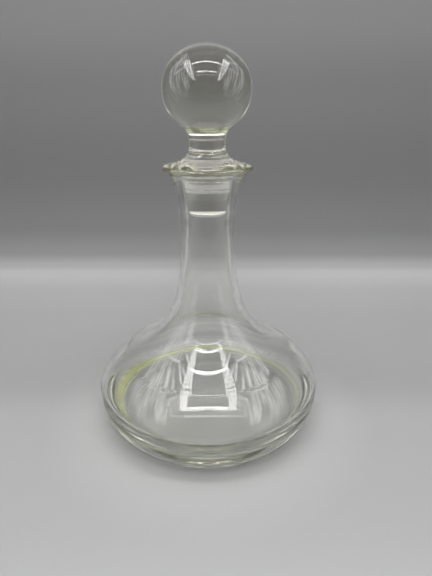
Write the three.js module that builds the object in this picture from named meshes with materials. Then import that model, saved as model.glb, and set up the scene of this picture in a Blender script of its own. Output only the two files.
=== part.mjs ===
// A glass ship's decanter: a broad low vessel with a slim flared neck, and its ball stopper.
// Both pieces are solids of revolution about Z. Millimetres, +Z up, and z = 0 is the table.
import * as THREE from "three";

// Foot: a flat ring round a shallow, smooth hollow.
const FOOT_RADIUS = 57;
const FOOT_RING_WIDTH = 6;
const FOOT_HOLLOW_DEPTH = 2;
const FOOT_LIFT = 10; // degrees, where the heel leaves the table

// Bowl, from the heel to the middle of the shoulder's slope.
const BOWL_RADIUS = 76.2;
const BOWL_HEIGHT = 30.2; // of its widest place
const SHOULDER_RADIUS = 58;
const SHOULDER_HEIGHT = 53;
const SHOULDER_SLOPE = 25.5; // degrees

// Neck and lip.
const NECK_RADIUS = 17.35; // at its narrowest
const NECK_HEIGHT = 134;
const LIP_RADIUS = 23.2;
const LIP_HEIGHT = 173.1; // of the lip's lower edge
const LIP_FLARE = 60; // degrees above level, where the throat meets the lip
const LIP_THICKNESS = 2;
const LIP_TOP = LIP_HEIGHT + LIP_THICKNESS;

// How far each outside curve keeps its direction, at its lower and its upper end.
const HEEL_PULL = [6.1, 22.8];
const DOME_PULL = [8.6, 4.5];
const FLARE_PULL = [28.9, 52.1];
const THROAT_PULL = [19, 9.1];

// Glass thickness and the inside.
const BOWL_WALL = 4.2;
const NECK_WALL = 4.6;
const CORNER_RADIUS = 64.6; // where the inside wall turns into the floor
const CORNER_HEIGHT = 17.6;
const CORNER_LEAN = 64; // degrees, how steep the wall still is there
const INNER_HEEL_PULL = [6, 5];
const CORNER_PULL = [1.4, 2.2];
const FLOOR_RADIUS = 60.8;
const FLOOR_HEIGHT = 15.2;
const FLOOR_RISE = 0.8; // at the middle
const SOCKET_BOTTOM = 148; // where the tapered mouth ends and the plain bore starts

// Stopper. Its flange lies over the lip and its plug hangs in the tapered mouth.
const REST_GAP = 0.3; // under the flange
const PLUG_BOTTOM = 149.3;
const PLUG_TIP_RADIUS = 11.4;
const PLUG_TOP_RADIUS = 14.4;
const PLUG_CLEARANCE = 0.4; // between the top of the plug and the mouth
const PLUG_CHAMFER = 0.6;
const PLUG_DOME = 0.2; // how far the middle of its cut tip hangs down
const MOUTH_EDGE = 1.6; // how far the mouth's rounded edge opens
const FLANGE_RADIUS = 28;
const FLANGE_LIFT = 0.8; // how far its underside rises towards the edge
const SWEEP_HEIGHT = 3.4; // from the flange's underside to where its hollow top starts
const SWEEP_SLOPE = 13; // degrees
const SWEEP_PULL = [8.8, 7.7];
const WAIST_RADIUS = 11;
const WAIST_HEIGHT = 190.2;
const BEAD_RADIUS = 11.6;
const BEAD_HEIGHT = 195.4;
const BEAD_HALF = 1.6; // half the bead's height
const NECKLET_RADIUS = 11.3; // between the bead and the ball
const NECKLET_HEIGHT = 197.5;
const BALL_RADIUS = 26.5;
const BALL_HALF_HEIGHT = 24.5;
const BALL_CENTRE = 221.8;
const BALL_FOOT_RADIUS = 13.7; // where the necklet's fillet runs into the ball

const SEGMENTS = 56;
const UP = 90;

const at = (radius, height) => new THREE.Vector2(radius, height);

// A point at a distance from another, in a direction given in degrees above outward.
function polar(from, distance, degrees) {
  const angle = THREE.MathUtils.degToRad(degrees);
  return at(from.x + distance * Math.cos(angle), from.y + distance * Math.sin(angle));
}

// Points of a smooth curve between two ends, each with its direction, without the first end.
function curve(start, startDirection, end, endDirection, pull, steps) {
  const leave = polar(start, pull[0], startDirection);
  const arrive = polar(end, -pull[1], endDirection);
  return new THREE.CubicBezierCurve(start, leave, arrive, end).getPoints(steps).slice(1);
}

// Points moved off the outside, square to it, by the glass thickness at their height.
function insideOf(outside) {
  return outside.slice(1, -1).map((point, i) => {
    const run = outside[i + 2].clone().sub(outside[i]).normalize();
    const wall = THREE.MathUtils.mapLinear(
      point.y, BOWL_HEIGHT, NECK_HEIGHT, BOWL_WALL, NECK_WALL,
    );
    return at(point.x - run.y * wall, point.y + run.x * wall);
  });
}

function lathe(profile) {
  return new THREE.LatheGeometry(profile, SEGMENTS).rotateX(Math.PI / 2);
}

function glass(color) {
  return new THREE.MeshStandardMaterial({
    color, roughness: 0.04, metalness: 0, transparent: true, opacity: 0.4,
  });
}

function decanterBody() {
  const foot = at(FOOT_RADIUS, 0);
  const widest = at(BOWL_RADIUS, BOWL_HEIGHT);
  const shoulder = at(SHOULDER_RADIUS, SHOULDER_HEIGHT);
  const narrowest = at(NECK_RADIUS, NECK_HEIGHT);
  const lip = at(LIP_RADIUS, LIP_HEIGHT);
  const inUp = 180 - SHOULDER_SLOPE;

  const hollowRadius = FOOT_RADIUS - FOOT_RING_WIDTH;
  const underside = [0, 0.2, 0.4, 0.6, 0.8, 1].map((share) => (
    at(hollowRadius * share, FOOT_HOLLOW_DEPTH * (1 - share ** 2) ** 2)
  ));
  underside.push(foot);
  const heel = curve(foot, FOOT_LIFT, widest, UP, HEEL_PULL, 8);
  const dome = curve(widest, UP, shoulder, inUp, DOME_PULL, 9);
  const flare = curve(shoulder, inUp, narrowest, UP, FLARE_PULL, 13);
  const throat = curve(narrowest, UP, lip, LIP_FLARE, THROAT_PULL, 7);
  const lipEdge = [
    at(LIP_RADIUS + 0.5, LIP_HEIGHT + LIP_THICKNESS * 0.4),
    at(LIP_RADIUS + 0.2, LIP_HEIGHT + LIP_THICKNESS * 0.85),
    at(LIP_RADIUS - 0.6, LIP_TOP),
  ];

  // Down the inside: the tapered mouth, then along the outside as far as the widest place.
  const mouthRadius = PLUG_TOP_RADIUS + PLUG_CLEARANCE;
  const mouth = [
    at(mouthRadius + MOUTH_EDGE, LIP_TOP),
    at(mouthRadius + MOUTH_EDGE * 0.3, LIP_TOP - MOUTH_EDGE * 0.3),
    at(mouthRadius, LIP_TOP - MOUTH_EDGE),
    at(NECK_RADIUS - NECK_WALL, SOCKET_BOTTOM),
  ];
  const innerWidest = at(BOWL_RADIUS - BOWL_WALL, BOWL_HEIGHT);
  const inside = insideOf([widest, ...dome, ...flare])
    .filter((point) => point.y > BOWL_HEIGHT)
    .reverse();
  const corner = at(CORNER_RADIUS, CORNER_HEIGHT);
  const wallDown = CORNER_LEAN - 180;
  const innerHeel = curve(innerWidest, -UP, corner, wallDown, INNER_HEEL_PULL, 4);
  innerHeel.push(
    ...curve(corner, wallDown, at(FLOOR_RADIUS, FLOOR_HEIGHT), 180, CORNER_PULL, 3),
  );
  const floor = [
    at(FLOOR_RADIUS * 0.5, FLOOR_HEIGHT + FLOOR_RISE * 0.75),
    at(0, FLOOR_HEIGHT + FLOOR_RISE),
  ];

  const profile = [
    ...underside, ...heel, ...dome, ...flare, ...throat, ...lipEdge,
    ...mouth, ...inside, innerWidest, ...innerHeel, ...floor,
  ];
  const mesh = new THREE.Mesh(lathe(profile), glass(0xdfe5da));
  mesh.name = "decanter_body";
  return mesh;
}

function stopper() {
  const underside = LIP_TOP + REST_GAP;
  const plug = [
    at(0, PLUG_BOTTOM - PLUG_DOME),
    at(PLUG_TIP_RADIUS * 0.5, PLUG_BOTTOM - PLUG_DOME * 0.8),
    at(PLUG_TIP_RADIUS - PLUG_CHAMFER, PLUG_BOTTOM),
    at(PLUG_TIP_RADIUS, PLUG_BOTTOM + PLUG_CHAMFER),
    at(PLUG_TOP_RADIUS, LIP_TOP - MOUTH_EDGE),
    at(PLUG_TOP_RADIUS + MOUTH_EDGE * 0.3, LIP_TOP - MOUTH_EDGE * 0.1),
    at(PLUG_TOP_RADIUS + MOUTH_EDGE, underside),
  ];

  const sweepStart = at(FLANGE_RADIUS - 1, underside + SWEEP_HEIGHT);
  const rim = [
    at(FLANGE_RADIUS - 1, underside + FLANGE_LIFT),
    at(FLANGE_RADIUS - 0.3, underside + FLANGE_LIFT + 0.3),
    at(FLANGE_RADIUS, underside + FLANGE_LIFT + 0.9),
    at(FLANGE_RADIUS - 0.3, underside + FLANGE_LIFT + 1.7),
    sweepStart,
  ];
  const waist = at(WAIST_RADIUS, WAIST_HEIGHT);
  const sweep = curve(sweepStart, 180 - SWEEP_SLOPE, waist, UP, SWEEP_PULL, 9);

  const bead = [
    at(WAIST_RADIUS + 0.1, BEAD_HEIGHT - BEAD_HALF),
    at(BEAD_RADIUS - 0.2, BEAD_HEIGHT - BEAD_HALF / 2),
    at(BEAD_RADIUS, BEAD_HEIGHT),
    at(BEAD_RADIUS - 0.1, BEAD_HEIGHT + BEAD_HALF / 2),
    at(NECKLET_RADIUS, NECKLET_HEIGHT),
  ];
  const ball = new THREE.EllipseCurve(
    0, BALL_CENTRE, BALL_RADIUS, BALL_HALF_HEIGHT,
    -Math.acos(BALL_FOOT_RADIUS / BALL_RADIUS), Math.PI / 2,
  ).getPoints(16);
  ball[ball.length - 1].x = 0; // exactly on the axis

  const profile = [...plug, ...rim, ...sweep, ...bead, ...ball];
  const mesh = new THREE.Mesh(lathe(profile), glass(0xd9dfd3));
  mesh.name = "stopper";
  return mesh;
}

const decanter = new THREE.Group();
decanter.add(decanterBody(), stopper());

export default decanter;
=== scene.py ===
import math

import bmesh
import bpy
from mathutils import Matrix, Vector, noise


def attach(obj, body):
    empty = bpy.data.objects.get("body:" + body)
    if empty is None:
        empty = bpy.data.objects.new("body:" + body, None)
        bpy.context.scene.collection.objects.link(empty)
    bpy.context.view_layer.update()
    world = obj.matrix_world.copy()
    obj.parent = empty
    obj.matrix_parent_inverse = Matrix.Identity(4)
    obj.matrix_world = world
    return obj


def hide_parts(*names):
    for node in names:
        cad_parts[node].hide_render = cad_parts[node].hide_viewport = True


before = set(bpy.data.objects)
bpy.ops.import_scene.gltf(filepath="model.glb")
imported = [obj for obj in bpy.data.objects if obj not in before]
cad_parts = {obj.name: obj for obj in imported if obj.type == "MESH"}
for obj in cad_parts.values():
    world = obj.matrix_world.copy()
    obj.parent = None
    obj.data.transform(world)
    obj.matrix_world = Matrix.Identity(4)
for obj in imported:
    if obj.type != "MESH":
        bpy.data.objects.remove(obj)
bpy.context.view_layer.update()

MM = 0.001

# Directions in a half section, in degrees above outward.
UP = 90
INWARD = 180

# The vessel's outside, in millimetres and degrees: the driving dimensions of the solids.
FOOT_RADIUS = 57
FOOT_RING_WIDTH = 6
FOOT_HOLLOW_DEPTH = 2
FOOT_LIFT = 10  # degrees, where the heel leaves the table
BOWL_RADIUS = 76.2
BOWL_HEIGHT = 30.2  # of its widest place
SHOULDER_RADIUS = 58
SHOULDER_HEIGHT = 53
SHOULDER_SLOPE = 25.5  # degrees
NECK_RADIUS = 17.35  # at its narrowest
NECK_HEIGHT = 134
LIP_RADIUS = 23.2
LIP_HEIGHT = 173.1  # of the lip's lower edge
LIP_FLARE = 60  # degrees above level, where the throat meets the lip
LIP_THICKNESS = 2
LIP_TOP = LIP_HEIGHT + LIP_THICKNESS

# How far each outside curve keeps its direction, at its lower and its upper end.
HEEL_PULL = (6.1, 22.8)
DOME_PULL = (8.6, 4.5)
FLARE_PULL = (28.9, 52.1)
THROAT_PULL = (19, 9.1)

# The vessel's inside.
BOWL_WALL = 4.2
NECK_WALL = 4.6
CORNER_RADIUS = 64.6  # where the wall turns into the floor
CORNER_HEIGHT = 17.6
CORNER_LEAN = 64  # degrees, how steep the wall still is there
INNER_HEEL_PULL = (6, 5)
CORNER_PULL = (1.4, 2.2)
FLOOR_RADIUS = 60.8
FLOOR_HEIGHT = 15.2
FLOOR_RISE = 0.8  # at the middle
FLOOR_PULL = (18, 18)
SOCKET_BOTTOM = 148  # where the tapered mouth ends and the plain bore starts
MOUTH_EDGE = 1.6  # how far down the mouth's rounded edge reaches

# The stopper.
REST_GAP = 0.3  # under the flange
PLUG_BOTTOM = 149.3
PLUG_TIP_RADIUS = 11.4
PLUG_TOP_RADIUS = 14.4
PLUG_CLEARANCE = 0.4  # between the top of the plug and the mouth
FLANGE_RADIUS = 28
FLANGE_LIFT = 0.8  # how far its underside rises towards the edge
SWEEP_HEIGHT = 3.4  # from the flange's underside to where its hollow top starts
SWEEP_INSET = 1  # from the flange's edge to there
SWEEP_SLOPE = 13  # degrees
SWEEP_PULL = (8.8, 7.7)
WAIST_RADIUS = 11
WAIST_HEIGHT = 190.2
BEAD_RADIUS = 11.6
BEAD_HEIGHT = 195.4
BEAD_HALF = 1.6  # half the bead's height
BEAD_FLAT = BEAD_HALF * 0.4  # half the height of its nearly upright side
NECKLET_RADIUS = 11.3  # between the bead and the ball
NECKLET_HEIGHT = 197.5
BALL_RADIUS = 26.5
BALL_HALF_HEIGHT = 24.5
BALL_CENTRE = 221.8
BALL_FOOT_RADIUS = 13.7

# The finer corners. Each says how far it stands outward and upward of its place, and how far
# from it the rounding starts.
LIP_EDGE = (0.9, 0.9, 0.7)
LIP_BROW = (0.1, 0, 0.8)
MOUTH_BROW = (0.3, 0, MOUTH_EDGE)
MOUTH_WALL = (0, -2.4, 0.6)
SOCKET_END = (0, 0, 2.5)
BORE_START = (0, 2, 0)
TIP_MIDDLE = (0, -0.2, 0)
TIP_DOME = ((3, -0.18, 1.5), (8.5, 0, 2.5))
TIP_EDGE = ((-0.3, 0, 0.3), (0, 0.9, 0.3))
PLUG_SHOULDER = (0, 0, 1.2)
PLUG_ROOT = (0.6, 0, 1.0)
FLANGE_EDGE = ((-0.2, 0, 0.6), (0.1, 1.2, 0.6))
BEAD_FOOT = (0.1, 0, 0.9)
BEAD_EDGES = ((0.1, -BEAD_FLAT, 0.5), (0, BEAD_FLAT, 0.5))

# The fillet between the bead and the ball.
FILLET_LEAVE = 100  # degrees
FILLET_ARRIVE = 30
FILLET_PULL = (1.2, 1.6)
FILLET_REACH = 3  # how many steps up the ball it runs

# How many steps each curve has, and how many sides the round pieces have.
SEGMENTS = 192
HOLLOW_STEPS = 24
HEEL_STEPS = 36
DOME_STEPS = 36
FLARE_STEPS = 60
THROAT_STEPS = 30
INNER_HEEL_STEPS = 20
CORNER_STEPS = 12
FLOOR_STEPS = 20
SWEEP_STEPS = 40
BALL_STEPS = 72
FILLET_STEPS = 8
ROUNDING_STEPS = 8


def polar(start, distance, degrees):
    """A point at a distance from another, in a direction in degrees above outward."""
    angle = math.radians(degrees)
    return (start[0] + distance * math.cos(angle), start[1] + distance * math.sin(angle))


def curve(start, start_direction, end, end_direction, pull, steps):
    """Points of a smooth curve between two ends, each with its direction, without the first."""
    leave = polar(start, pull[0], start_direction)
    arrive = polar(end, -pull[1], end_direction)
    corners = (start, leave, arrive, end)
    points = []
    for i in range(1, steps + 1):
        t = i / steps
        weights = ((1 - t) ** 3, 3 * t * (1 - t) ** 2, 3 * t * t * (1 - t), t ** 3)
        points.append(tuple(sum(w * c[k] for w, c in zip(weights, corners)) for k in (0, 1)))
    return points


def beside(place, offset):
    """A (radius, height, rounding) corner that stands off a place."""
    outward, upward, rounding = offset
    return (place[0] + outward, place[1] + upward, rounding)


def rounded(corners):
    """A run of (radius, height, rounding) corners, each replaced by a short smooth curve."""
    points = []
    for i, (x, y, rounding) in enumerate(corners):
        here = Vector((x, y))
        if rounding == 0 or i in (0, len(corners) - 1):
            points.append((x, y))
            continue
        before = (Vector(corners[i - 1][:2]) - here).normalized() * rounding
        after = (Vector(corners[i + 1][:2]) - here).normalized() * rounding
        for k in range(ROUNDING_STEPS + 1):
            t = k / ROUNDING_STEPS
            point = here + before * (1 - t) ** 2 + after * t ** 2
            points.append((point.x, point.y))
    return points


def inside_of(outside):
    """Points moved off the outside, square to it, by the glass thickness at their height."""
    points = []
    for before, here, after in zip(outside, outside[1:], outside[2:]):
        run = (Vector(after) - Vector(before)).normalized()
        share = (here[1] - BOWL_HEIGHT) / (NECK_HEIGHT - BOWL_HEIGHT)
        wall = BOWL_WALL + share * (NECK_WALL - BOWL_WALL)
        points.append((here[0] - run.y * wall, here[1] + run.x * wall))
    return points


def foot_hollow():
    """The shallow hollow under the base, from the axis to the foot ring."""
    hollow = FOOT_RADIUS - FOOT_RING_WIDTH
    points = []
    for i in range(HOLLOW_STEPS + 1):
        share = i / HOLLOW_STEPS
        points.append((hollow * share, FOOT_HOLLOW_DEPTH * (1 - share ** 2) ** 2))
    return points


def mouth_rim():
    """Over the lip's edge and down the tapered mouth into the bore."""
    lip = (LIP_RADIUS, LIP_HEIGHT)
    mouth = (PLUG_TOP_RADIUS + PLUG_CLEARANCE, LIP_TOP)
    bore = NECK_RADIUS - NECK_WALL
    corners = [
        (*lip, 0),
        beside(lip, LIP_EDGE),
        beside((LIP_RADIUS, LIP_TOP), LIP_BROW),
        beside(mouth, MOUTH_BROW),
        beside(mouth, MOUTH_WALL),
        beside((bore, SOCKET_BOTTOM), SOCKET_END),
        beside((bore, NECK_HEIGHT), BORE_START),
    ]
    return rounded(corners)[1:]


def inner_floor():
    """Down the inside from its widest place, round the corner and over the floor."""
    widest = (BOWL_RADIUS - BOWL_WALL, BOWL_HEIGHT)
    corner = (CORNER_RADIUS, CORNER_HEIGHT)
    edge = (FLOOR_RADIUS, FLOOR_HEIGHT)
    middle = (0, FLOOR_HEIGHT + FLOOR_RISE)
    wall_down = CORNER_LEAN - INWARD
    points = [widest]
    points += curve(widest, -UP, corner, wall_down, INNER_HEEL_PULL, INNER_HEEL_STEPS)
    points += curve(corner, wall_down, edge, INWARD, CORNER_PULL, CORNER_STEPS)
    points += curve(edge, INWARD, middle, INWARD, FLOOR_PULL, FLOOR_STEPS)
    return points


def vessel_profile():
    """The vessel's half section, up the outside and down the inside, in millimetres."""
    foot = (FOOT_RADIUS, 0)
    widest = (BOWL_RADIUS, BOWL_HEIGHT)
    shoulder = (SHOULDER_RADIUS, SHOULDER_HEIGHT)
    narrowest = (NECK_RADIUS, NECK_HEIGHT)
    lip = (LIP_RADIUS, LIP_HEIGHT)
    in_up = INWARD - SHOULDER_SLOPE
    heel = [foot] + curve(foot, FOOT_LIFT, widest, UP, HEEL_PULL, HEEL_STEPS)
    dome = curve(widest, UP, shoulder, in_up, DOME_PULL, DOME_STEPS)
    flare = curve(shoulder, in_up, narrowest, UP, FLARE_PULL, FLARE_STEPS)
    throat = curve(narrowest, UP, lip, LIP_FLARE, THROAT_PULL, THROAT_STEPS)
    inside = [point for point in inside_of([widest] + dome + flare) if point[1] > BOWL_HEIGHT]
    inside.reverse()
    return foot_hollow() + heel + dome + flare + throat + mouth_rim() + inside + inner_floor()


def plug_and_flange(sweep_start):
    """From the plug's tip up its side and round the flange's edge."""
    underside = LIP_TOP + REST_GAP
    middle = (0, PLUG_BOTTOM)
    tip = (PLUG_TIP_RADIUS, PLUG_BOTTOM)
    flange = (FLANGE_RADIUS, underside + FLANGE_LIFT)
    corners = [beside(middle, TIP_MIDDLE)]
    corners += [beside(middle, offset) for offset in TIP_DOME]
    corners += [beside(tip, offset) for offset in TIP_EDGE]
    corners.append(beside((PLUG_TOP_RADIUS, LIP_TOP - MOUTH_EDGE), PLUG_SHOULDER))
    corners.append(beside((PLUG_TOP_RADIUS, underside), PLUG_ROOT))
    corners += [beside(flange, offset) for offset in FLANGE_EDGE]
    corners.append((*sweep_start, 0))
    return rounded(corners)


def ball_side():
    """Up the ball, from its foot to its top."""
    start = -math.acos(BALL_FOOT_RADIUS / BALL_RADIUS)
    points = []
    for i in range(BALL_STEPS):
        angle = start + (math.pi / 2 - start) * i / BALL_STEPS
        height = BALL_CENTRE + BALL_HALF_HEIGHT * math.sin(angle)
        points.append((BALL_RADIUS * math.cos(angle), height))
    points.append((0, BALL_CENTRE + BALL_HALF_HEIGHT))
    return points


def stopper_profile():
    """The stopper's half section, from the plug's tip to the top of the ball."""
    sweep_start = (FLANGE_RADIUS - SWEEP_INSET, LIP_TOP + REST_GAP + SWEEP_HEIGHT)
    waist = (WAIST_RADIUS, WAIST_HEIGHT)
    sweep = curve(sweep_start, INWARD - SWEEP_SLOPE, waist, UP, SWEEP_PULL, SWEEP_STEPS)
    corners = [(*waist, 0), beside((WAIST_RADIUS, BEAD_HEIGHT - BEAD_HALF), BEAD_FOOT)]
    corners += [beside((BEAD_RADIUS, BEAD_HEIGHT), offset) for offset in BEAD_EDGES]
    corners.append((NECKLET_RADIUS, NECKLET_HEIGHT, 0))
    bead = rounded(corners)[1:-1]
    ball = ball_side()
    meeting = ball[FILLET_REACH]
    fillet = curve(bead[-1], FILLET_LEAVE, meeting, FILLET_ARRIVE, FILLET_PULL, FILLET_STEPS)
    return plug_and_flange(sweep_start) + sweep + bead + fillet + ball[FILLET_REACH + 1:]


# The surface's slight unevenness: the size of its swells and how far they reach, in millimetres.
SWELLS = ((24, 0.05), (9, 0.012))
CALM_RADIUS = 5  # millimetres, within which the swells fade out towards the axis
ON_AXIS = 1e-6
VESSEL_SEED = 0  # each piece has its own place in the noise
STOPPER_SEED = 500


def uneven(radius, angle, height, seed):
    """How far the surface stands off the true round here, in millimetres."""
    place = Vector((radius * math.cos(angle), radius * math.sin(angle), height + seed))
    return sum(noise.noise(place / size) * reach for size, reach in SWELLS)


def smooth_object(name, bm):
    """An object in the scene from a finished bmesh, shaded smooth."""
    mesh = bpy.data.meshes.new(name)
    bm.to_mesh(mesh)
    bm.free()
    mesh.shade_smooth()
    piece = bpy.data.objects.new(name, mesh)
    bpy.context.scene.collection.objects.link(piece)
    return piece


def ring_round(bm, radius, height, seed):
    """The points of one ring of a solid of revolution, or its one point on the axis."""
    if radius < ON_AXIS:
        return [bm.verts.new((0, 0, height * MM))]
    ring = []
    for k in range(SEGMENTS):
        angle = 2 * math.pi * k / SEGMENTS
        bumpy = radius + uneven(radius, angle, height, seed) * min(1, radius / CALM_RADIUS)
        place = (bumpy * math.cos(angle) * MM, bumpy * math.sin(angle) * MM, height * MM)
        ring.append(bm.verts.new(place))
    return ring


def lathe(name, profile, seed):
    """A closed, slightly uneven solid of revolution about Z, from its half section."""
    bm = bmesh.new()
    rings = [ring_round(bm, radius, height, seed) for radius, height in profile]
    for low, high in zip(rings, rings[1:]):
        for here in range(SEGMENTS):
            there = (here + 1) % SEGMENTS
            corners = (
                low[here % len(low)], low[there % len(low)],
                high[there % len(high)], high[here % len(high)],
            )
            bm.faces.new(list(dict.fromkeys(corners)))  # beside the axis two corners are one
    bmesh.ops.recalc_face_normals(bm, faces=bm.faces)
    return smooth_object(name, bm)


# Short ways to add nodes to a tree.


def connect(tree, socket, value):
    """Links another node's output to a socket, or sets the socket to a plain value."""
    if isinstance(value, bpy.types.NodeSocket):
        tree.links.new(value, socket)
    else:
        socket.default_value = value


def add(tree, kind, inputs, operation=None, data_type=None):
    """A new node's outputs. Its inputs, by name or number, are plain values or other outputs."""
    node = tree.nodes.new(kind)
    if operation:
        node.operation = operation
    if data_type:
        node.data_type = data_type
    for key, value in inputs.items():
        connect(tree, node.inputs[key], value)
    return node.outputs


def arithmetic(tree, operation, first, second):
    """One sum, difference or product of two numbers."""
    return add(tree, "ShaderNodeMath", {0: first, 1: second}, operation=operation)["Value"]


def remap(tree, value, span, result):
    """A value's way through a span, as the same way through the result's span."""
    inputs = {
        "Value": value,
        "From Min": span[0],
        "From Max": span[1],
        "To Min": result[0],
        "To Max": result[1],
    }
    return add(tree, "ShaderNodeMapRange", inputs)["Result"]


def blend(tree, data_type, share, start, end):
    """From start to end, numbers or colours, as the share goes from 0 to 1."""
    inputs = {"Factor": share, "A": start, "B": end}
    return add(tree, "ShaderNodeMix", inputs, data_type=data_type)["Result"]


def along(tree, value, stops, interpolation="LINEAR"):
    """A colour that follows a value from stop to stop, each a (value, colour) pair."""
    first, last = stops[0][0], stops[-1][0]
    ramp = tree.nodes.new("ShaderNodeValToRGB")
    ramp.color_ramp.interpolation = interpolation
    for _ in stops[2:]:
        ramp.color_ramp.elements.new(1.0)
    for element, (place, colour) in zip(ramp.color_ramp.elements, stops):
        element.position = (place - first) / (last - first)
        element.color = (*colour, 1)
    connect(tree, ramp.inputs["Fac"], remap(tree, value, (first, last), (0.0, 1.0)))
    return ramp.outputs["Color"]


def coordinates(tree, kind):
    return tree.nodes.new("ShaderNodeTexCoord").outputs[kind]


def parts_of(tree, vector):
    """A vector's x, y and z."""
    return add(tree, "ShaderNodeSeparateXYZ", {"Vector": vector})


def length_of(tree, vector):
    return add(tree, "ShaderNodeVectorMath", {0: vector}, operation="LENGTH")["Value"]


def show(tree, surface):
    connect(tree, tree.nodes["Material Output"].inputs["Surface"], surface)


def show_from_front(tree, surface):
    """Shows a surface from its front alone, so that the other views see past it."""
    behind = tree.nodes.new("ShaderNodeNewGeometry").outputs["Backfacing"]
    clear = tree.nodes.new("ShaderNodeBsdfTransparent").outputs["BSDF"]
    show(tree, add(tree, "ShaderNodeMixShader", {"Fac": behind, 1: surface, 2: clear})["Shader"])


def new_material(name):
    material = bpy.data.materials.new(name)
    material.use_nodes = True
    return material


# Glass. A tint deepens with the way through it, and a skin tints each crossing of its surface.
GLASS_INDEX = 1.51
VESSEL_TINT = (0.67, 0.68, 0.62)
VESSEL_DENSITY = 8
VESSEL_SKIN = (0.97, 0.97, 0.955)
STOPPER_TINT = (0.50, 0.51, 0.36)
STOPPER_DENSITY = 10
STOPPER_SKIN = (0.94, 0.93, 0.91)


def glass(name, tint, density, skin):
    """Clear glass with its tint inside and its skin."""
    material = new_material(name)
    tree = material.node_tree
    shader = tree.nodes["Principled BSDF"]
    shader.inputs["Base Color"].default_value = (*skin, 1)
    shader.inputs["Roughness"].default_value = 0.0
    shader.inputs["IOR"].default_value = GLASS_INDEX
    shader.inputs["Transmission Weight"].default_value = 1.0
    inputs = {"Color": (*tint, 1), "Density": density}
    volume = add(tree, "ShaderNodeVolumeAbsorption", inputs)["Volume"]
    connect(tree, tree.nodes["Material Output"].inputs["Volume"], volume)
    return material


# Where the inside's floor meets its wall, light that ran through the base comes out: a painted
# yellow-green glow stands in for it.
CORNER = (0.0644, 0.0172)  # radius and height, metres
CORNER_REACH = (0.0010, 0.0036)  # full within the first distance, gone at the second
CORNER_GLOW_COLOUR = (0.93, 1.0, 0.42, 1)
CORNER_ROUGHNESS = 0.3
CORNER_GLEAM = 0.45  # how much of it scatters
GLEAM_ACROSS = (1.0, 0.45)  # its share at the left and at the right: the painted glow is brighter on the left, where the light comes in
# At the far left it reaches twice as far, because distances there count half.
BLOOM_SPAN = (-CORNER[0], -CORNER[0] * 0.7)
BLOOM = (0.5, 1.0)
# Little light comes out of the heel beside the foot, so it is painted a darker grey: painted shade.
HEEL = (0.0600, 0.001)
HEEL_REACH = (0.003, 0.009)
HEEL_PAINTED_SHADE = (0.78, 0.79, 0.78, 1)


def distance_from(tree, section, place):
    """How far a point of the half section is from a (radius, height) place."""
    inputs = {0: section, 1: (*place, 0)}
    return add(tree, "ShaderNodeVectorMath", inputs, operation="DISTANCE")["Value"]


def paint_corner_glow(material):
    """The painted glow along the floor's edge, and the painted shade on the heel."""
    tree = material.node_tree
    shader = tree.nodes["Principled BSDF"]
    place = coordinates(tree, "Object")
    x, _, z = parts_of(tree, place)
    level = add(tree, "ShaderNodeVectorMath", {0: place, 1: (1, 1, 0)}, operation="MULTIPLY")
    radius = length_of(tree, level["Vector"])
    section = add(tree, "ShaderNodeCombineXYZ", {"X": radius, "Y": z})["Vector"]

    bloom = remap(tree, x, BLOOM_SPAN, BLOOM)
    away = arithmetic(tree, "MULTIPLY", distance_from(tree, section, CORNER), bloom)
    corner = remap(tree, away, CORNER_REACH, (1.0, 0.0))
    heel = remap(tree, distance_from(tree, section, HEEL), HEEL_REACH, (1.0, 0.0))
    across = remap(tree, x, (-CORNER[0], CORNER[0]), GLEAM_ACROSS)
    gleam = arithmetic(tree, "MULTIPLY", corner, across)

    scattered = arithmetic(tree, "MULTIPLY", gleam, CORNER_GLEAM)
    clear = arithmetic(tree, "SUBTRACT", 1.0, scattered)
    connect(tree, shader.inputs["Transmission Weight"], clear)
    skin = tuple(shader.inputs["Base Color"].default_value)
    # Painted light: the corner's glow is a yellow-green painted into the base colour.
    glowing = blend(tree, "RGBA", gleam, skin, CORNER_GLOW_COLOUR)
    # Painted shade: the heel beside the foot is painted grey.
    connect(tree, shader.inputs["Base Color"], blend(tree, "RGBA", heel, glowing, HEEL_PAINTED_SHADE))
    rough = arithmetic(tree, "MULTIPLY", corner, CORNER_ROUGHNESS)
    connect(tree, shader.inputs["Roughness"], rough)


# How matt the stopper is by height in metres: its cut tip and the ground band that seals.
GROUND = (
    (0.148, 4.0), (0.1507, 4.0), (0.1510, 0.0), (0.1642, 0.0), (0.1652, 1.0), (0.1664, 0.4),
    (0.1684, 0.5), (0.1698, 1.5), (0.1715, 0.0),
)
GROUND_ROUGHNESS = 0.6
# Grinding leaves a worn, streaky white.
STREAK_SCALE = (160.0, 160.0, 1200.0)  # per metre
STREAK_SPAN = (0.40, 0.60)  # of the noise
STREAK_WHITE = (0.25, 1.5)
# The flange's edge, by height in metres, is seen through a long way of glass.
EDGE_SKIN = (0.72, 0.72, 0.56)
FLANGE_TINTS = (
    (0.148, STOPPER_SKIN), (0.1745, STOPPER_SKIN), (0.1758, EDGE_SKIN), (0.1785, EDGE_SKIN),
    (0.181, STOPPER_SKIN),
)


def grey_stops(stops):
    return [(place, (tone, tone, tone)) for place, tone in stops]


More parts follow.
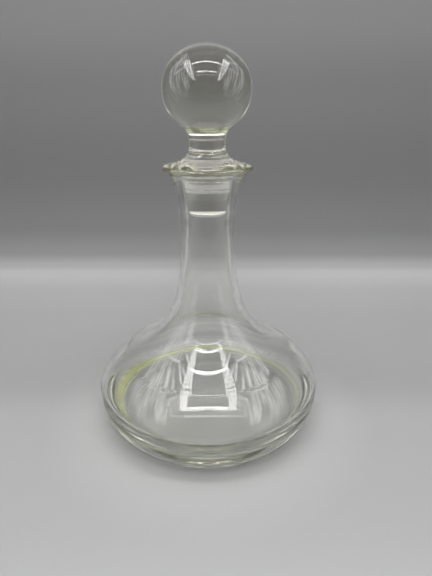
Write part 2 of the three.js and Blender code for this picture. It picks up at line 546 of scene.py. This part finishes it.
def grind(material):
    """The plug's matt tip and band, and the tint of the flange's edge."""
    tree = material.node_tree
    shader = tree.nodes["Principled BSDF"]
    place = coordinates(tree, "Object")
    height = parts_of(tree, place)["Z"]
    matt = along(tree, height, grey_stops(GROUND))
    rough = arithmetic(tree, "MULTIPLY", matt, GROUND_ROUGHNESS)
    connect(tree, shader.inputs["Roughness"], rough)
    connect(tree, shader.inputs["Base Color"], along(tree, height, FLANGE_TINTS))

    stretched = add(tree, "ShaderNodeMapping", {"Vector": place, "Scale": STREAK_SCALE})["Vector"]
    streaks = add(tree, "ShaderNodeTexNoise", {"Vector": stretched, "Scale": 1.0})["Fac"]
    worn = remap(tree, streaks, STREAK_SPAN, STREAK_WHITE)
    white = arithmetic(tree, "MULTIPLY", matt, worn)
    clear = arithmetic(tree, "SUBTRACT", 1.0, white)
    clear.node.use_clamp = True
    connect(tree, shader.inputs["Transmission Weight"], clear)


# The backdrop: a floor that bends up into a wall.
FLOOR_DROP = -0.0003
BACKDROP_HALF = 1.6  # half its width, and how far it comes forward
WALL_Y = 0.20
WALL_TOP = 0.75
BEND = 0.14
BEND_STEPS = 24
PAPER_ROUGHNESS = 0.8
PAPER_BLUE = 1.005  # against its red and green
# Its tone by the way along it (y + z): over the floor to the back, then up the wall. The tones are
# painted light and shade: darker far in front and low on the wall, brighter near the bowl, in a
# band at the bend and higher up the wall.
BACKDROP_PAINTED_LIGHT = (
    (-0.6, 0.249), (-0.38, 0.333), (-0.2, 0.747), (-0.1, 0.647), (-0.05, 0.659), (-0.01, 0.671),
    (0.035, 0.6), (0.09, 0.622), (0.143, 0.629), (0.18, 0.67), (0.215, 0.8), (0.226, 0.652),
    (0.245, 0.429), (0.28, 0.333), (0.362, 0.313), (0.42, 0.336), (0.49, 0.414), (0.65, 0.609),
    (0.95, 0.813),
)
# Light gathers under clear glass, so the paper there is brighter seen through it, and some of it
# spills out beside the bowl. Each gain fades out over its span of distances from the middle.
POOL_SPAN = (0.08, 0.10)
POOL_GAIN = 1.55
SPILL_SPAN = (0.085, 0.12)
SPILL_GAIN = 1.12


def paper():
    """The sweep's pale paper with painted light and shade along it, clear from behind."""
    material = new_material("backdrop_paper")
    tree = material.node_tree
    shader = tree.nodes["Principled BSDF"]
    shader.inputs["Roughness"].default_value = PAPER_ROUGHNESS
    place = coordinates(tree, "Object")
    _, y, z = parts_of(tree, place)
    way = arithmetic(tree, "ADD", y, z)
    # Painted light and shade: the paper's tone follows the way along it.
    tones = [(way_here, (tone, tone, tone * PAPER_BLUE)) for way_here, tone in BACKDROP_PAINTED_LIGHT]
    colour = along(tree, way, tones, "EASE")

    reach = length_of(tree, place)
    spill = remap(tree, reach, SPILL_SPAN, (SPILL_GAIN, 1.0))
    pool = remap(tree, reach, POOL_SPAN, (POOL_GAIN, 1.0))
    through_glass = tree.nodes.new("ShaderNodeLightPath").outputs["Is Transmission Ray"]
    gain = blend(tree, "FLOAT", through_glass, spill, pool)
    lit = add(tree, "ShaderNodeVectorMath", {0: colour, "Scale": gain}, operation="SCALE")["Vector"]
    connect(tree, shader.inputs["Base Color"], lit)
    show_from_front(tree, shader.outputs["BSDF"])
    return material


def make_backdrop():
    run = [(-BACKDROP_HALF, FLOOR_DROP)]
    for i in range(BEND_STEPS + 1):
        angle = math.pi / 2 * i / BEND_STEPS
        y = WALL_Y - BEND + BEND * math.sin(angle)
        run.append((y, FLOOR_DROP + BEND - BEND * math.cos(angle)))
    run.append((WALL_Y, WALL_TOP))
    bm = bmesh.new()
    rows = [[bm.verts.new((x, y, z)) for x in (-BACKDROP_HALF, BACKDROP_HALF)] for y, z in run]
    for near, far in zip(rows, rows[1:]):
        bm.faces.new((near[0], near[1], far[1], far[0]))
    sweep = smooth_object("backdrop", bm)
    sweep.data.materials.append(paper())
    return sweep


# The lamps hang in a light box. Sizes and places are in metres.
LAMP_HEIGHT = 0.62
# Bars across the ceiling: name, y, half length and radiance. Each goes on to both sides as its
# fainter mirror image in the walls.
BARS = (("rear", -0.135, 0.26, 24), ("front", -0.39, 0.35, 24), ("far", -0.54, 0.3, 7))
BAR_WIDTH = 0.02
MIRRORED_LENGTH = 0.5
MIRRORED_GAP = 0.03  # between a bar's end and its image
MIRRORED_SHARE = 0.58
# Rows of small square lamps, the same on both sides: start, end, height, rows and pitch.
LED_ROWS = (
    ((0.142, -0.243), (0.076, -0.016), 0.33, 4, 0.01),
    ((0.05, -0.405), (0.25, -0.405), LAMP_HEIGHT - 0.001, 3, 0.02),
)
LED_SHARE = 0.6  # of the pitch
LED_RADIANCE = 18
# Narrow lamps on the side walls, each between two (y, z) places.
STRIP_X = 0.355  # just in front of the silver cloth
STRIP_WIDTH = 0.022
STRIP_RADIANCE = 5
WALL_STRIPS = (((-0.10, 0.59), (0.01, 0.39)),)
# Silver cloth up the side walls and a little way over the ceiling.
SILVER_FRONT, SILVER_BACK = -0.42, 0.19
SILVER_BOTTOM, SILVER_TOP = 0.06, 0.6
SILVER_WALL, SILVER_INNER = 0.36, 0.20
SILVER_GLOW = (0.33, 5.0)
SILVER_EDGE = (-0.09, -0.03)  # across the folds, where the glow fades out
SILVER_FOOT = (0.16, 0.34)  # heights over which the folds brighten
SILVER_FOOT_SHARE = 0.4  # of their glow, at the lower one
FOLD_LEAN = 32  # degrees
FOLD_SCALE = (36.0, 3.0, 1.0)  # per metre, across and along the folds
FOLD_DETAIL = 4.0
FOLD_SPAN = (0.47, 0.62)  # of the noise
# The lamp that stands in for the light that the ball gathers.
OVERHEAD_PLACE = (0, -0.02, 0.34)
OVERHEAD_SIZE = 0.12
OVERHEAD_RADIANCE = 24
OVERHEAD_COLOUR = (0.74, 0.72, 1.0)
# The world's tone by how far a direction points up.
WORLD_TONES = ((0.0, 0.22), (0.4, 0.26), (0.6, 0.4), (1.0, 0.8))


def down_light(name, size_x, size_y, radiance, place):
    """A rectangular lamp that faces down."""
    data = bpy.data.lights.new(name, "AREA")
    data.shape = "RECTANGLE"
    data.size = size_x
    data.size_y = size_y
    data.energy = radiance * math.pi * size_x * size_y
    lamp = bpy.data.objects.new(name, data)
    lamp.location = place
    bpy.context.scene.collection.objects.link(lamp)
    return lamp


def emitter(name, radiance):
    """A plain lamp surface."""
    material = new_material(name)
    tree = material.node_tree
    tree.nodes.remove(tree.nodes["Principled BSDF"])
    show(tree, add(tree, "ShaderNodeEmission", {"Strength": radiance})["Emission"])
    return material


def folds(name):
    """Creased silver cloth that glows in leaning streaks, clear from behind."""
    material = emitter(name, SILVER_GLOW[0])
    tree = material.node_tree
    place = coordinates(tree, "UV")
    height = parts_of(tree, place)["Y"]
    turn = (0.0, 0.0, math.radians(FOLD_LEAN))
    leaning = add(tree, "ShaderNodeMapping", {"Vector": place, "Rotation": turn})["Vector"]
    stretched = add(tree, "ShaderNodeMapping", {"Vector": leaning, "Scale": FOLD_SCALE})["Vector"]
    inputs = {"Vector": stretched, "Scale": 1.0, "Detail": FOLD_DETAIL}
    streaks = add(tree, "ShaderNodeTexNoise", inputs)["Fac"]
    streak_glow = remap(tree, streaks, FOLD_SPAN, SILVER_GLOW)
    edge = remap(tree, parts_of(tree, leaning)["X"], SILVER_EDGE, (1.0, 0.0))
    foot = remap(tree, height, SILVER_FOOT, (SILVER_FOOT_SHARE, 1.0))
    share = arithmetic(tree, "MULTIPLY", edge, foot)
    glow = tree.nodes["Emission"]
    connect(tree, glow.inputs["Strength"], blend(tree, "FLOAT", share, SILVER_GLOW[0], streak_glow))
    show_from_front(tree, glow.outputs["Emission"])
    return material


def light_panel(name, quads, material, places=None):
    """Stage quads that light the object and stay out of the camera's sight."""
    mesh = bpy.data.meshes.new(name)
    corners = [corner for quad in quads for corner in quad]
    mesh.from_pydata(corners, [], [tuple(range(4 * i, 4 * i + 4)) for i in range(len(quads))])
    if places:
        layer = mesh.uv_layers.new(name="cloth")
        for i, place in enumerate(places):
            layer.data[i].uv = place
    mesh.materials.append(material)
    piece = bpy.data.objects.new(name, mesh)
    piece.visible_camera = False
    piece.visible_diffuse = False
    bpy.context.scene.collection.objects.link(piece)


def led_rows(side, start, end, height, rows, pitch):
    """Small square lamps in rows beside a line on one side, facing down."""
    start = Vector((side * start[0], start[1]))
    run = Vector((side * end[0], end[1])) - start
    step = run.normalized() * pitch
    across = Vector((-step.y, step.x))
    half = pitch * LED_SHARE / 2
    quads = []
    for i in range(round(run.length / pitch) + 1):
        for row in range(rows):
            centre = start + step * i + across * (row - (rows - 1) / 2)
            low, high = centre - Vector((half, half)), centre + Vector((half, half))
            outline = ((low.x, low.y), (low.x, high.y), (high.x, high.y), (high.x, low.y))
            quads.append([(x, y, height) for x, y in outline])
    return quads


def wall_strip(side, start, end):
    """A narrow lamp on a side wall, between two (y, z) places."""
    start, end = Vector(start), Vector(end)
    half = (end - start).normalized() * STRIP_WIDTH / 2
    across = Vector((-half.y, half.x))
    outline = (start - across, start + across, end + across, end - across)
    return [(side * STRIP_X, place.x, place.y) for place in outline]


def silver_side(side):
    """Silver cloth on one side, laid out flat for its folds."""
    over = SILVER_TOP + SILVER_WALL - SILVER_INNER
    # Each strip across the cloth: x, z and its height laid out flat.
    strips = (
        (SILVER_WALL, SILVER_BOTTOM, SILVER_BOTTOM),
        (SILVER_WALL, SILVER_TOP, SILVER_TOP),
        (SILVER_INNER, SILVER_TOP, over),
    )
    quads = []
    places = []
    for low, high in zip(strips, strips[1:]):
        corners = [
            (low, SILVER_FRONT), (low, SILVER_BACK), (high, SILVER_BACK), (high, SILVER_FRONT),
        ]
        if side > 0:
            corners.reverse()
        quads.append([(side * x, y, z) for (x, z, _), y in corners])
        places += [(y, flat) for (_, _, flat), y in corners]
    light_panel(f"silver_{side}", quads, folds(f"silver_{side}"), places)


def light_ground_glass(stopper, backdrop):
    """The ball gathers light from above onto the ground plug, which a shadow ray can't follow."""
    lamp = down_light(
        "overhead", OVERHEAD_SIZE, OVERHEAD_SIZE, OVERHEAD_RADIANCE, OVERHEAD_PLACE,
    )
    lamp.data.color = OVERHEAD_COLOUR
    lamp.visible_camera = False
    lamp.visible_glossy = False
    lamp.visible_transmission = False
    lit = bpy.data.collections.new("lit_from_above")
    lit.objects.link(stopper)
    lamp.light_linking.receiver_collection = lit
    casting = bpy.data.collections.new("casts_from_above")
    casting.objects.link(backdrop)
    lamp.light_linking.blocker_collection = casting


def make_bars():
    """The ceiling's bars with their mirror images."""
    for name, y, half, radiance in BARS:
        down_light(f"bar_{name}", 2 * half, BAR_WIDTH, radiance, (0, y, LAMP_HEIGHT))
        mirrored = radiance * MIRRORED_SHARE
        x = half + MIRRORED_GAP + MIRRORED_LENGTH / 2
        for side in (-1, 1):
            place = (side * x, y, LAMP_HEIGHT)
            down_light(f"bar_{name}_{side}", MIRRORED_LENGTH, BAR_WIDTH, mirrored, place)


def make_world():
    world = bpy.data.worlds.new("studio")
    bpy.context.scene.world = world
    world.use_nodes = True
    tree = world.node_tree
    upward = parts_of(tree, coordinates(tree, "Generated"))["Z"]
    background = tree.nodes["Background"]
    connect(tree, background.inputs["Color"], along(tree, upward, grey_stops(WORLD_TONES)))
    background.inputs["Strength"].default_value = 1.0


def make_lights(stopper, backdrop):
    make_bars()
    leds = []
    for side in (-1, 1):
        for row in LED_ROWS:
            leds += led_rows(side, *row)
    light_panel("leds", leds, emitter("leds", LED_RADIANCE))
    strips = [wall_strip(side, *strip) for side in (-1, 1) for strip in WALL_STRIPS]
    light_panel("strips", strips, emitter("strips", STRIP_RADIANCE))
    for side in (-1, 1):
        silver_side(side)
    light_ground_glass(stopper, backdrop)
    make_world()


# The photograph's camera, fitted to the outline.
CAMERA_PLACE = (0.0053, -0.306, 0.22025)
CAMERA_DOWN = 21.81  # degrees below level
LEVEL = 90  # degrees, a camera's turn from straight down
FOCAL_LENGTH = 490  # in the photograph's pixels
PHOTO_HEIGHT = 576  # pixels
SENSOR = 36  # millimetres, over the photograph's height


def make_camera():
    data = bpy.data.cameras.new("camera")
    data.sensor_width = SENSOR
    data.lens = SENSOR * FOCAL_LENGTH / PHOTO_HEIGHT
    camera = bpy.data.objects.new("camera", data)
    camera.location = CAMERA_PLACE
    camera.rotation_euler = (math.radians(LEVEL - CAMERA_DOWN), 0, 0)
    bpy.context.scene.collection.objects.link(camera)
    bpy.context.scene.camera = camera


def make_vessel():
    vessel = lathe("vessel_glass", vessel_profile(), VESSEL_SEED)
    vessel.data.materials.append(glass("vessel_glass", VESSEL_TINT, VESSEL_DENSITY, VESSEL_SKIN))
    paint_corner_glow(vessel.data.materials[0])
    return vessel


def make_stopper():
    stopper = lathe("stopper_glass", stopper_profile(), STOPPER_SEED)
    material = glass("stopper_glass", STOPPER_TINT, STOPPER_DENSITY, STOPPER_SKIN)
    stopper.data.materials.append(material)
    grind(material)
    return stopper


GLASS_BOUNCES = 48  # thick glass passes light on many times

vessel = make_vessel()
stopper = make_stopper()
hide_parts("decanter_body")
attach(vessel, "vessel")
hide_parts("stopper")
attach(stopper, "stopper")
make_lights(stopper, make_backdrop())
make_camera()
bpy.context.scene.view_settings.view_transform = "Standard"
bpy.context.scene.cycles.max_bounces = GLASS_BOUNCES
bpy.context.scene.cycles.transmission_bounces = GLASS_BOUNCES
bpy.context.scene.cycles.glossy_bounces = GLASS_BOUNCES
